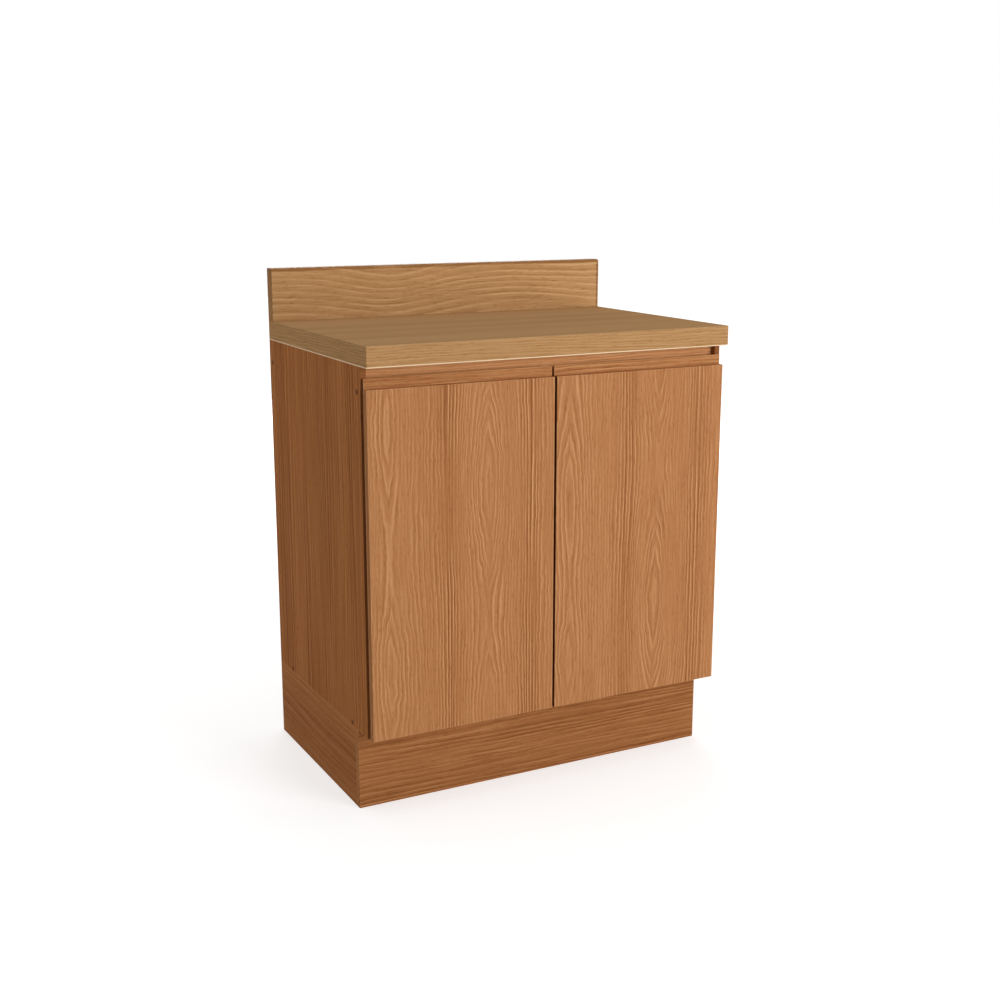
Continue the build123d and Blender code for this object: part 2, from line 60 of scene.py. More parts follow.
# Scales of the decor's noises across and along the grain, per metre
ZONE_SCALE: Pair = (11.0, 0.7)
DRIFT_SCALE: Pair = (3.0, 1.6)
QUIVER_SCALE: Pair = (26.0, 8.0)
JITTER_SCALE: Pair = (50.0, 34.0)
FADE_SCALE: Pair = (34.0, 5.0)
BROAD_SCALE: Pair = (15.0, 0.9)
STREAK_SCALE: Pair = (230.0, 1.1)
PORE_SCALE: Pair = (450.0, 70.0)
FIBRE_FINENESS = 300.0

# Steps of those noises and of a face's turn, from none to full
ZONE_STEP: Pair = (0.42, 0.66)
FADE_STEP: Pair = (0.34, 0.62)
STREAK_STEP: Pair = (0.44, 0.62)
PORE_STEP: Pair = (0.54, 0.74)
BARE_STEP: Pair = (0.75, 0.85)

# The lines in one cycle: half the width of their cores, where each lies, and half its width
LINE_CORE = 0.02
PALE_AT = 0.38
PALE_HALF = 0.26
DARK_AT = 0.71
DARK_HALF = 0.27

# Hold of a bundle on its lines, rest of faded lines, strength of arches, scales of the uneven spacing
BUNDLE_HOLD = 0.7
FADED = 0.25
ARCH_STAND = 0.4
TRAIL: Pair = (0.3, 1.2)

# Tone of the ground, drift of the bundles, the strip along the edges (rubbed paler on most boards,
# darkened by painted shade on the upstand) and relief of the print
GROUND_TONE = 0.55
DRIFT = 16.0 * MM
CHEWED = 1.6 * MM
CHEWED_SCALE = 140.0
EDGE_BLEND = 2.3 * MM
PRINT_RELIEF = 0.06 * MM
PRINT_STRENGTH = 0.35

# What the edges add to the tone, paler where rubbed and darker where painted shade lies along them, and
# what rubbed edges, pores and bare chips add to the roughness
EDGE_WEAR_AND_SHADE_TONE = 0.6
WORN_ROUGH = 0.2
PORE_ROUGH = 0.14
BARE_ROUGH = 0.3

# Bands: the place in the decor that they were cut from, their darker tone of painted shade and their
# pores' roughness
BAND_SHIFT: Triple = (9.0, 4.0, 2.0)
BAND_PAINTED_SHADE = 0.1
BAND_ROUGH = 0.1


def even(scale: float) -> Triple:
    """One number for all three axes or colours."""
    return scale, scale, scale


class Side(Enum):
    """The two sides of the cabinet, as seen from the front."""

    LEFT = "left"
    RIGHT = "right"


class Level(Enum):
    """The two hinges of one door."""

    LOWER = "lower"
    UPPER = "upper"


class Grain(Enum):
    """The way in which a board's decor runs."""

    UPRIGHT = "upright"
    LEVEL = "level"
    DEEP = "deep"
    AROUND = "around"

    def stretch(self, across: float, along: float) -> Triple:
        """Spreads two scales over the three axes.

        Args:
            across: Scale across the grain, per metre.
            along: Scale along the grain, per metre.

        Returns:
            The scale of each axis.
        """
        return {
            Grain.UPRIGHT: (across, across, along),
            Grain.LEVEL: (along, across, across),
            Grain.DEEP: (across, along, across),
            Grain.AROUND: (along, along, across),
        }[self]


class Value:
    """One output of a shader tree, with arithmetic that adds Math nodes."""

    def __init__(self, tree: "ShaderTree", socket: bpy.types.NodeSocket) -> None:
        """Keeps the tree and the socket."""
        self.tree = tree
        self.socket = socket

    def __add__(self, other: "Value | float") -> "Value":
        """The sum."""
        return self.tree.math("ADD", self, other)

    def __radd__(self, other: float) -> "Value":
        """The sum, number first."""
        return self.tree.math("ADD", other, self)

    def __sub__(self, other: "Value | float") -> "Value":
        """The difference."""
        return self.tree.math("SUBTRACT", self, other)

    def __rsub__(self, other: float) -> "Value":
        """The difference, number first."""
        return self.tree.math("SUBTRACT", other, self)

    def __mul__(self, other: "Value | float") -> "Value":
        """The product."""
        return self.tree.math("MULTIPLY", self, other)

    def __truediv__(self, other: "Value | float") -> "Value":
        """The quotient."""
        return self.tree.math("DIVIDE", self, other)

    def __abs__(self) -> "Value":
        """The size without its sign."""
        return self.tree.math("ABSOLUTE", self)

    def least(self, other: "Value | float") -> "Value":
        """The smaller of two."""
        return self.tree.math("MINIMUM", self, other)

    def most(self, other: "Value | float") -> "Value":
        """The larger of two."""
        return self.tree.math("MAXIMUM", self, other)

    def rise(self, low: float, high: float) -> "Value":
        """A smooth step from 0 at low to 1 at high."""
        span = {"Value": self, "From Min": low, "From Max": high}
        return self.tree.add("ShaderNodeMapRange", {"interpolation_type": "SMOOTHSTEP"}, span)


class ShaderTree:
    """The node tree of one material or world."""

    def __init__(self, name: str, library: str = "materials") -> None:
        """Starts an empty tree in a new material or world.

        Args:
            name: The owner's name.
            library: The part of the file's data that keeps the owner.
        """
        self.owner = getattr(bpy.data, library).new(name)
        self.owner.use_nodes = True
        self.nodes = self.owner.node_tree.nodes
        self.links = self.owner.node_tree.links
        self.nodes.clear()

    def add(
        self, kind: str, settings: dict[str, Any] | None = None,
        sockets: dict[str | int, Any] | None = None, out: str | int = 0,
    ) -> Value:
        """Adds one node.

        Args:
            kind: The node's type.
            settings: Its settings, set first.
            sockets: The values or links of its inputs, by name or number.
            out: The output to hand back.

        Returns:
            That output.
        """
        node = self.nodes.new(kind)
        for key, value in (settings or {}).items():
            setattr(node, key, value)
        for key, value in (sockets or {}).items():
            if isinstance(value, Value):
                self.links.new(value.socket, node.inputs[key])
            else:
                node.inputs[key].default_value = value
        return Value(self, node.outputs[out]) if node.outputs else Value(self, None)

    def math(self, operation: str, *values: Value | float) -> Value:
        """Adds one Math node on these values."""
        return self.add("ShaderNodeMath", {"operation": operation}, dict(enumerate(values)))

    def vector(self, operation: str, *values: Value | Triple, out: str = "Vector") -> Value:
        """Adds one Vector Math node on these values."""
        return self.add("ShaderNodeVectorMath", {"operation": operation}, dict(enumerate(values)), out)

    def mix(self, share: Value | float, first: Value | Colour, second: Value | Colour) -> Value:
        """Mixes two colours.

        Args:
            share: How much of the second colour shows.
            first: The first colour.
            second: The second colour.

        Returns:
            The mixed colour.
        """
        colours = [c if isinstance(c, Value) else (*c, 1.0) for c in (first, second)]
        sockets = {0: share, 6: colours[0], 7: colours[1]}
        return self.add("ShaderNodeMix", {"data_type": "RGBA"}, sockets, 2)

    def ramp(self, share: Value, stops: list[tuple[float, Colour]]) -> Value:
        """Turns a number into a colour.

        Args:
            share: The number.
            stops: Pairs of number and colour.

        Returns:
            The colour.
        """
        blend = self.add("ShaderNodeValToRGB", None, {"Fac": share})
        elements = blend.socket.node.color_ramp.elements
        while len(elements) < len(stops):
            elements.new(1.0)
        for element, (place, colour) in zip(elements, stops):
            element.position = place
            element.color = (*colour, 1.0)
        return blend

    def place(self) -> Value:
        """The point on the piece, in metres."""
        return self.add("ShaderNodeTexCoord", out="Object")

    def facing(self) -> Value:
        """The way in which the surface looks."""
        return self.add("ShaderNodeTexCoord", out="Normal")

    def parts(self, vector: Value) -> tuple[Value, Value, Value]:
        """Splits a vector into its three numbers."""
        split = self.add("ShaderNodeSeparateXYZ", None, {0: vector}).socket.node
        return tuple(Value(self, output) for output in split.outputs)

    def noise(
        self, place: Value, scale: Triple, shift: Triple = (0.0, 0.0, 0.0),
        detail: float = 2.0, rough: float = 0.5,
    ) -> Value:
        """Smooth noise about one half, stretched as scale says.

        Args:
            place: The point on the piece.
            scale: Scale of each axis, per metre.
            shift: Where in the noise the piece lies.
            detail: How many finer layers are added.
            rough: How strong those layers are.

        Returns:
            The noise, from 0 to 1.
        """
        spot = self.vector("MULTIPLY_ADD", place, scale, shift)
        sockets = {"Vector": spot, "Scale": 1.0, "Detail": detail, "Roughness": rough}
        return self.add("ShaderNodeTexNoise", {"noise_dimensions": "3D"}, sockets)

    def surface(
        self, colour: Value, rough: Value, height: Value, relief: float, strength: float,
        sheen: float = 0.5, metal: float = 0.0,
    ) -> Material:
        """Closes the tree with one shader.

        Args:
            colour: The base colour.
            rough: The roughness.
            height: Height of the surface, from 0 to 1.
            relief: How deep that height is, in metres.
            strength: How strongly it shows.
            sheen: Strength of the sheen, the same all over.
            metal: One for bare metal.

        Returns:
            The material.
        """
        bump = {"Strength": strength, "Distance": relief, "Height": height}
        normal = self.add("ShaderNodeBump", None, bump)
        sockets = {
            "Base Color": colour, "Roughness": rough, "Metallic": metal,
            "Specular IOR Level": sheen, "Normal": normal,
        }
        shader = self.add("ShaderNodeBsdfPrincipled", None, sockets)
        self.add("ShaderNodeOutputMaterial", None, {"Surface": shader})
        return self.owner


@dataclass(frozen=True)
class Flame:
    """One long eye of nested arches in a decor, in metres from the board's lowest corner.

    Attributes:
        across: Its middle across the grain.
        along: Its middle along the grain.
        half_width: Half its width.
        half_length: Half its length.
        lift: How far it pushes the lines apart.
    """

    across: float
    along: float
    half_width: float
    half_length: float
    lift: float


@dataclass(frozen=True)
class Board:
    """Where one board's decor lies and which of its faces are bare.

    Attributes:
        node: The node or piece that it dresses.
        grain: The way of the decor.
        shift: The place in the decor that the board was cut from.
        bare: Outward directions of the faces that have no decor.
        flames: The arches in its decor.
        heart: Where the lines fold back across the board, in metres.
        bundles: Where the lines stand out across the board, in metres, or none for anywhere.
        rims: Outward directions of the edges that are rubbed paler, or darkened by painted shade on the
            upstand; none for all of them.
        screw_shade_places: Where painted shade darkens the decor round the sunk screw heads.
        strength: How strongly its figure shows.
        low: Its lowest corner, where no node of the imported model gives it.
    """

    node: str
    grain: Grain
    shift: Triple
    bare: tuple[Triple, ...] = ()
    flames: tuple[Flame, ...] = ()
    heart: float = 0.0
    bundles: tuple[float, ...] = ()
    rims: tuple[Triple, ...] = ()
    screw_shade_places: tuple[Triple, ...] = ()
    strength: float = 1.0
    low: Triple | None = None

    def start(self) -> Triple:
        """The corner that the decor is measured from."""
        return tuple(self.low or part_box(self.node)[0])

    def thin(self) -> int:
        """The axis along which the board is thinnest."""
        low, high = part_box(self.node)
        return min(range(3), key=lambda axis: high[axis] - low[axis])

    def worn_and_shaded_rims(self) -> list[Triple]:
        """Finds the edges that are rubbed paler, or darkened by painted shade on the upstand.

        Returns:
            Their outward directions.
        """
        if self.rims:
            return list(self.rims)
        ways = [Vector(way) for way in ((1, 0, 0), (0, 1, 0), (0, 0, 1))]
        del ways[self.thin()]
        return [tuple(way * sign) for way in ways for sign in (-1.0, 1.0)]


@dataclass(frozen=True)
class Chipboard:
    """The pressed chips inside a board, where it was sawn."""

    pale: Colour = (0.62, 0.42, 0.24)
    mid: Colour = (0.46, 0.29, 0.15)
    deep: Colour = (0.27, 0.15, 0.07)
    chip: float = 420.0
    bend_scale: float = 90.0
    dust_scale: float = 1500.0

    def colour(self, tree: ShaderTree, place: Value) -> tuple[Value, Value]:
        """Adds the chips to a tree.

        Args:
            tree: The tree.
            place: The point on the piece.

        Returns:
            The colour and the height of the sawn face.
        """
        bent = tree.noise(place, even(self.bend_scale), detail=1.0)
        scale = (self.chip * 0.45, self.chip * 0.7, self.chip)
        spot = tree.vector("MULTIPLY_ADD", place, scale, (3.0, 7.0, 1.0))
        moved = tree.vector("MULTIPLY_ADD", bent, even(1.4), spot)
        sockets = {"Vector": moved, "Scale": 1.0}
        chips = tree.add("ShaderNodeTexVoronoi", {"feature": "F1"}, sockets, "Color")
        tone, other, _ = tree.parts(chips)
        dust = tree.noise(place, even(self.dust_scale))
        mixed = tone * 0.7 + dust * 0.45 - 0.08
        stops = [(0.05, self.deep), (0.45, self.mid), (0.95, self.pale)]
        return tree.ramp(mixed, stops), other * 0.5 + dust * 0.5

    def make(self, name: str) -> Material:
        """The sawn face as a material.

        Args:
            name: The material's name.

        Returns:
            The material.
        """
        tree = ShaderTree(name)
        colour, height = self.colour(tree, tree.place())
        rough = 0.72 + height * 0.2
        return tree.surface(colour, rough, height, relief=0.4 * MM, strength=0.6, sheen=0.2)


@dataclass(frozen=True)
class WoodDecor:
    """A printed oak decor on a board: pale lines with dark ones beside them, arches, fibres and pores.

    Lengths are in metres, and scales are per metre.

    Attributes:
        pale: Colour of the lightest lines.
        mid: Colour of the ground.
        deep: Colour of the darkest lines.
        pitch: Spacing of the lines.
        fold: Width of a plank from one heart to the next, or none for straight lines.
        slope: How steeply the lines fall from a heart.
        ease: How much wider the lines lie at a heart than between hearts.
        wander: How far the lines wander over the board.
        wander_scale: Scale of the wander across and along the grain.
        shake: How far they shake over a short way.
        tremble: How far they tremble from pore to pore.
        line_share: How pale the pale lines are.
        shade_share: How dark the lines beside them are.
        rest: How much of the lines is left between the bundles.
        core: How far from a heart the lines are quieter.
        core_share: How much of the lines is left at a heart.
        bundle_width: Half the width of a bundle.
        arch_width: Half the width of a zone of arches.
        bundle_share: How dark the ground of a bundle is.
        streak_share: How dark the straight streaks in a bundle are.
        fibre_share: How strongly the fibres show.
        fibre_run: Scale of the fibres along the grain.
        tone_share: How strongly broad patches differ.
        pore_share: How dark the pores are.
        edge_wear_and_shade: How pale the rubbed edges have gone, or, below none, how dark the painted
            shade along them is.
        edge_wear_and_shade_reach: How far the rubbed strip and the painted shade reach from the edges.
        turn_painted_shade: How much painted shade darkens the faces that turn away from the board's broad
            faces.
        screw_painted_shade: How dark the painted shade round a sunk screw head is.
        screw_painted_shade_reach: How far from the screw's middle that painted shade reaches.
        uneven: How unevenly the lines are spaced.
        rough: Roughness between the pores.
        gloss: Strength of the sheen.
        inside: The board under the decor.
    """

    pale: Colour
    mid: Colour
    deep: Colour
    pitch: float = 7.0 * MM
    fold: float = 0.0
    slope: float = 0.6
    ease: float = 0.5
    wander: float = 0.05
    wander_scale: Pair = (6.0, 0.8)
    shake: float = 7.0 * MM
    tremble: float = 3.5 * MM
    line_share: float = 0.5
    shade_share: float = 0.42
    rest: float = 0.5
    core: float = 11.0 * MM
    core_share: float = 0.55
    bundle_width: float = 23.0 * MM
    arch_width: float = 36.0 * MM
    bundle_share: float = 0.08
    streak_share: float = 0.25
    fibre_share: float = 0.75
    fibre_run: float = 12.0
    tone_share: float = 0.25
    pore_share: float = 0.18
    edge_wear_and_shade: float = 0.35
    edge_wear_and_shade_reach: float = 3.0 * MM
    turn_painted_shade: float = 0.0
    screw_painted_shade: float = 0.7
    screw_painted_shade_reach: float = 7.0 * MM
    uneven: float = 2.0
    rough: float = 0.6
    gloss: float = 0.025
    inside: Chipboard = field(default_factory=Chipboard)

    def cover(self, board: Board) -> None:
        """Prints one board and dresses its node."""
        dress(board.node, Print(self, board, f"{board.node}_decor").on_board())

    def cover_band(self, piece: Piece, grain: Grain) -> None:
        """Prints one thin band."""
        band = Board(piece.name, grain, BAND_SHIFT, low=(0.0, 0.0, 0.0))
        piece.data.materials.append(Print(self, band, f"{piece.name}_print").on_band())


class Print:
    """One decor at work on one board, in the tree of a material."""

    def __init__(self, decor: WoodDecor, board: Board, name: str) -> None:
        """Starts the material.

        Args:
            decor: The decor.
            board: The board.
            name: The material's name.
        """
        self.decor = decor
        self.board = board
        self.tree = ShaderTree(name)
        self.place = self.tree.place()

    def noise(self, scale: Pair, detail: float = 1.0, rough: float = 0.5) -> Value:
        """Noise on the board, scaled across and along its grain."""
        stretch = self.board.grain.stretch(*scale)
        return self.tree.noise(self.place, stretch, self.board.shift, detail, rough)

    def ways(self) -> list[Value]:
        """Measures the point across and along the grain.

        Returns:
            How far it lies across and along, in metres.
        """
        spot = self.tree.vector("SUBTRACT", self.place, self.board.start())
        axes = [self.board.grain.stretch(*way) for way in ((1.0, 0.0), (0.0, 1.0))]
        return [self.tree.vector("DOT_PRODUCT", spot, axis, out="Value") for axis in axes]

    def near(self, middles: tuple[float, ...], half: float) -> Value:
        """Adds zones that run along the grain.

        Args:
            middles: The middles of the zones across the board, in metres, or none for zones anywhere.
            half: Half the width of a zone, in metres.

        Returns:
            One in a zone, and none away from it.
        """
        if not middles:
            return self.noise(ZONE_SCALE).rise(*ZONE_STEP)
        across, _ = self.ways()
        drift = self.noise(DRIFT_SCALE) * DRIFT - DRIFT / 2
        total: Value | float = 0.0
        for middle in middles:
            aside = (across + drift - middle) / half
            total = total + self.tree.math("EXPONENT", 0.0 - aside * aside)
        return total.least(1.0)

    def lines(self, bundle: Value) -> Value:
        """Adds the lines and arches.

        Args:
            bundle: Where the lines run straight and stand out.

        Returns:
            How much paler or darker than the ground the point is.
        """
        decor, board, tree = self.decor, self.board, self.tree
        across, along = self.ways()
        sway = self.noise(decor.wander_scale, rough=0.4) - 0.5
        quiver = self.noise(QUIVER_SCALE) - 0.5
        jitter = self.noise(JITTER_SCALE) - 0.5
        loose = 1.0 - bundle * BUNDLE_HOLD
        bent = across + sway * decor.wander + (quiver * decor.shake + jitter * decor.tremble) * loose
        depth = bent
        if decor.fold:
            flank = tree.math("PINGPONG", bent - board.heart, decor.fold)
            swell = tree.math("SINE", flank * (math.tau / decor.fold)) * (decor.fold / math.tau)
            depth = (flank - swell * decor.ease) * -decor.slope
        for flame in board.flames:
            aside = (bent - flame.across) / flame.half_width
            away = (along - flame.along) / flame.half_length
            depth = depth + tree.math("EXPONENT", 0.0 - (aside * aside + away * away)) * flame.lift
        count = depth / decor.pitch
        trail = tree.add("ShaderNodeCombineXYZ", None, {0: count * TRAIL[0], 1: along * TRAIL[1]})
        uneven = tree.noise(trail, even(1.0), board.shift, 1.0) - 0.5
        cycle = tree.math("FRACT", count + uneven * decor.uneven)
        pale = 1.0 - abs(cycle - PALE_AT).rise(LINE_CORE, PALE_HALF)
        shade = 1.0 - abs(cycle - DARK_AT).rise(LINE_CORE, DARK_HALF)
        fade = self.noise(FADE_SCALE).rise(*FADE_STEP)
        stand = bundle
        if decor.fold:
            arches = (board.heart, board.heart - decor.fold)
            stand = stand.most(self.near(arches, decor.arch_width) * ARCH_STAND)
        share = (fade * (1.0 - FADED) + FADED) * (stand * (1.0 - decor.rest) + decor.rest)
        if decor.fold:
            beside = flank.least(decor.fold - flank).rise(0.0, decor.core)
            share = share * (beside * (1.0 - decor.core_share) + decor.core_share)
        return (pale * decor.line_share - shade * decor.shade_share) * share

    def tone(self) -> tuple[Value, Value]:
        """Adds the figure of the wood.

        Returns:
            The tone, from 0 for deep to 1 for pale, and the pores.
        """
        decor = self.decor
        bundle = self.near(self.board.bundles, decor.bundle_width)
        lines = self.lines(bundle)
        fibre = self.noise((FIBRE_FINENESS, decor.fibre_run), 2.0, 0.6)
        broad = self.noise(BROAD_SCALE, 2.0)
        streak = self.noise(STREAK_SCALE).rise(*STREAK_STEP)
        pores = self.noise(PORE_SCALE).rise(*PORE_STEP)
        cloth = (fibre - 0.5) * decor.fibre_share + (broad - 0.5) * decor.tone_share
        dark = bundle * (streak * decor.streak_share + decor.bundle_share) + pores * decor.pore_share
        return GROUND_TONE + (lines + cloth - dark) * self.board.strength, pores

    def worn_and_shaded_edge(self) -> Value:
        """Adds the strip along the board's edges, where they are rubbed paler or darkened by painted
        shade.

        Returns:
            One on the edges, and none away from them.
        """
        low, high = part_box(self.board.node)
        axes = self.tree.parts(self.place)
        gap: Value | None = None
        for way in self.board.worn_and_shaded_rims():
            axis = max(range(3), key=lambda i: abs(way[i]))
            reach = high[axis] - axes[axis] if way[axis] > 0 else axes[axis] - low[axis]
            gap = gap.least(reach) if gap else reach
        chewed = self.tree.noise(self.place, even(CHEWED_SCALE), self.board.shift) * CHEWED
        return 1.0 - (gap + chewed).rise(self.decor.edge_wear_and_shade_reach - EDGE_BLEND, self.decor.edge_wear_and_shade_reach)

    def ink(self, tone: Value) -> Value:
        """The colour of the print at a tone."""
        stops = [(0.0, self.decor.deep), (0.5, self.decor.mid), (1.0, self.decor.pale)]
        return self.tree.ramp(tone, stops)

    def close(self, colour: Value, rough: Value, height: Value) -> Material:
        """Closes the tree with the print's own relief and sheen."""
        return self.tree.surface(colour, rough, height, PRINT_RELIEF, PRINT_STRENGTH, self.decor.gloss)

    def on_board(self) -> Material:
        """Prints a board, with its rubbed edges, its painted shade along edges, on turned faces and round
        sunk screws, and its bare faces.

        Returns:
            The material.
        """
        decor, board, tree = self.decor, self.board, self.tree
        tone, pores = self.tone()
        # Rubbed edges turn paler; where the decor's edge value is below none, painted shade darkens them
        # instead.
        worn_and_shaded_edge = self.worn_and_shaded_edge() * decor.edge_wear_and_shade
        # Painted shade: faces turned away from the board's broad faces are darkened.
        if decor.turn_painted_shade:
            facing = tree.parts(tree.facing())
            tone = tone - (1.0 - abs(facing[board.thin()])) * decor.turn_painted_shade
        # Painted shade: the decor is darkened round each sunk screw head.
        for screw_place in board.screw_shade_places:
            away = tree.vector("DISTANCE", self.place, screw_place, out="Value")
            tone = tone - (1.0 - away.rise(decor.screw_painted_shade_reach * 0.5, decor.screw_painted_shade_reach)) * decor.screw_painted_shade
        colour = self.ink(tone + worn_and_shaded_edge * EDGE_WEAR_AND_SHADE_TONE)
        rough = decor.rough + pores * PORE_ROUGH + worn_and_shaded_edge * WORN_ROUGH
        height = 1.0 - pores
        for way in board.bare:
            bare = tree.vector("DOT_PRODUCT", tree.facing(), way, out="Value").rise(*BARE_STEP)
            sawn, grit = decor.inside.colour(tree, self.place)
            colour = tree.mix(bare, colour, sawn)
            rough = rough + bare * BARE_ROUGH
            height = height * (1.0 - bare) + grit * bare
        return self.close(colour, rough, height)

    def on_band(self) -> Material:
        """Prints a thin band, more plainly than a board and darkened by painted shade.

        Returns:
            The material.
        """
        tone, pores = self.tone()
        rough = self.decor.rough + pores * BAND_ROUGH
        # The band's tone is lowered as painted shade on the edge.
        return self.close(self.ink(tone - BAND_PAINTED_SHADE), rough, 1.0 - pores)


@dataclass(frozen=True)
class Paper:
    """Cream backing paper under the worktop."""

    pale: Colour = (0.9, 0.7, 0.47)
    deep: Colour = (0.78, 0.58, 0.36)
    cloud_scale: float = 35.0
    fibre_scale: Triple = (300.0, 1400.0, 1400.0)

    def make(self, name: str) -> Material:
        """The paper as a material.

        Args:
            name: The material's name.

        Returns:
            The material.
        """
        tree = ShaderTree(name)
        place = tree.place()
        cloud = tree.noise(place, even(self.cloud_scale), detail=3.0)
        fibre = tree.noise(place, self.fibre_scale)
        colour = tree.mix(cloud * 0.6 + fibre * 0.4, self.deep, self.pale)
        rough = 0.62 + fibre * 0.15
        return tree.surface(colour, rough, fibre, relief=0.1 * MM, strength=0.4, sheen=0.25)


@dataclass(frozen=True)
class Hardboard:
    """Brown pressed fibre sheet, smooth to the front and marked by its press mesh behind."""

    pale: Colour = (0.4, 0.25, 0.135)
    deep: Colour = (0.25, 0.14, 0.07)
    mesh: float = 1.6 * MM
    fibre_scale: float = 700.0
    cloud_scale: float = 7.0

    def make(self, board: Board, decor: WoodDecor) -> Material:
        """The sheet as a material.

        Args:
            board: The sheet.
            decor: The decor on its front.

        Returns:
            The material.
        """
        front = Print(decor, board, f"{board.node}_sheet")
        tree, place = front.tree, front.place
        x, _, z = tree.parts(place)
        turn = math.tau / self.mesh
        ridge = tree.math("SINE", x * turn) * tree.math("SINE", z * turn)
        fibre = tree.noise(place, even(self.fibre_scale), detail=3.0, rough=0.65)
        cloud = tree.noise(place, even(self.cloud_scale), detail=3.0)
        shade = cloud * 0.25 + fibre * 0.7 + ridge * 0.2 + 0.03
        felt = tree.mix(shade.rise(0.15, 0.9), self.deep, self.pale)
        tone, pores = front.tone()
        behind = tree.vector("DOT_PRODUCT", tree.facing(), BEHIND, out="Value").rise(-0.9, -0.8)
        colour = tree.mix(behind, front.ink(tone), felt)
        height = (1.0 - pores * 0.7) * (1.0 - behind) + (ridge * 0.35 + fibre * 0.4) * behind
        rough = decor.rough + behind * 0.32 + fibre * 0.08
        return tree.surface(colour, rough, height, relief=0.25 * MM, strength=0.5, sheen=0.2)


@dataclass(frozen=True)
class Beech:
    """Pale turned beech with short darker flecks."""

    pale: Colour = (0.66, 0.46, 0.27)
    deep: Colour = (0.44, 0.26, 0.13)
    streak_scale: Pair = (420.0, 18.0)
    fleck_scale: Pair = (1600.0, 220.0)

    def make(self, name: str, grain: Grain) -> Material:
        """The beech as a material.

        Args:
            name: The material's name.
            grain: The way of the wood.

        Returns:
            The material.
        """
        tree = ShaderTree(name)
        place = tree.place()
        streak = tree.noise(place, grain.stretch(*self.streak_scale))
        fleck = tree.noise(place, grain.stretch(*self.fleck_scale), detail=1.0).rise(0.6, 0.72)
        colour = tree.mix((streak - fleck * 0.5).rise(0.1, 0.8), self.deep, self.pale)
        return tree.surface(colour, 0.6 + fleck * 0.1, streak, relief=0.1 * MM, strength=0.5)


@dataclass(frozen=True)
class Metal:
    """Plated or dark brown steel with fine drawn lines and small scuffs.

    Attributes:
        bright: Colour of the clean metal.
        dull: Colour of the dulled metal.
        rough: Roughness of the clean metal.
        grit: Scale of the drawn lines, per metre.
        cloud_scale: Scale of the dulled patches.
        scuff_scale: Scale of the scuffs.
    """

    bright: Colour
    dull: Colour
    rough: float
    grit: float = 1500.0
    cloud_scale: float = 160.0
    scuff_scale: Triple = (900.0, 900.0, 220.0)

    def make(self, name: str) -> Material:
        """The metal as a material.

        Args:
            name: The material's name.

        Returns:
            The material.
        """
        tree = ShaderTree(name)
        place = tree.place()
        drawn = tree.noise(place, (self.grit, self.grit * 0.08, self.grit))
        cloud = tree.noise(place, even(self.cloud_scale), detail=3.0)
        scuff = tree.noise(place, self.scuff_scale, detail=1.0).rise(0.62, 0.7)
        colour = tree.mix(cloud.rise(0.3, 0.75) * 0.6 + scuff * 0.4, self.bright, self.dull)
        rough = self.rough + drawn * 0.12 + scuff * 0.15
        return tree.surface(colour, rough, drawn, relief=0.03 * MM, strength=0.4, metal=1.0)


@dataclass(frozen=True)
class Rubber:
    """Soft clear-grey bumper rubber, slightly dusty."""

    pale: Colour = (0.52, 0.5, 0.46)
    deep: Colour = (0.3, 0.28, 0.25)
    dust_scale: float = 600.0

    def make(self, name: str) -> Material:
        """The rubber as a material.

        Args:
            name: The material's name.

        Returns:
            The material.
        """
        tree = ShaderTree(name)
        place = tree.place()
        dust = tree.noise(place, even(self.dust_scale), detail=3.0)
        colour = tree.mix(dust, self.deep, self.pale)
        return tree.surface(colour, 0.55 + dust * 0.25, dust, relief=0.08 * MM, strength=0.4)


